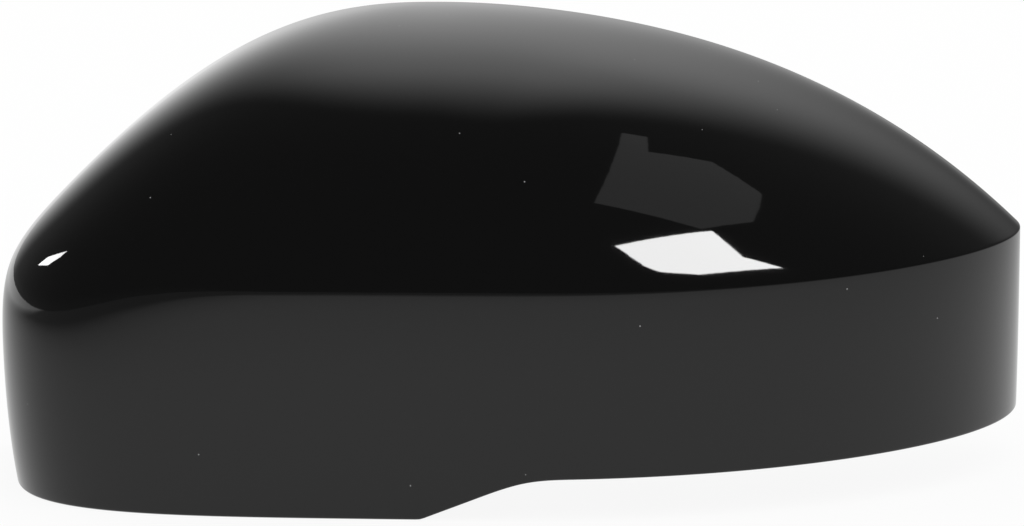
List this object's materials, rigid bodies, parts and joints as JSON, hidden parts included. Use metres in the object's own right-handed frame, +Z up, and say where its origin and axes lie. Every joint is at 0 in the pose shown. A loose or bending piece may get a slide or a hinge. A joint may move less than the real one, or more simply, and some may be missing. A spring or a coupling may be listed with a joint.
{
  "type": "wing mirror cover",
  "caption": "One-piece gloss black clip-on cover for a door mirror: rounded dome over a creased band, stepped lower edge, clips, ribs and locating pegs inside.",
  "frame": {"origin": "the middle of the main locating peg's shank, on its axis", "axes": "X runs outboard along the cover to its pointed end, Y runs rearwards along the pegs to the open rim, Z is up"},
  "size_m": [0.2757, 0.11, 0.1233],
  "materials": {
    "gloss_black": "gloss black paint outside, raw satin black plastic inside"
  },
  "bodies": {
    "root": {"cover_shell": "gloss_black"}
  },
  "joints": []
}
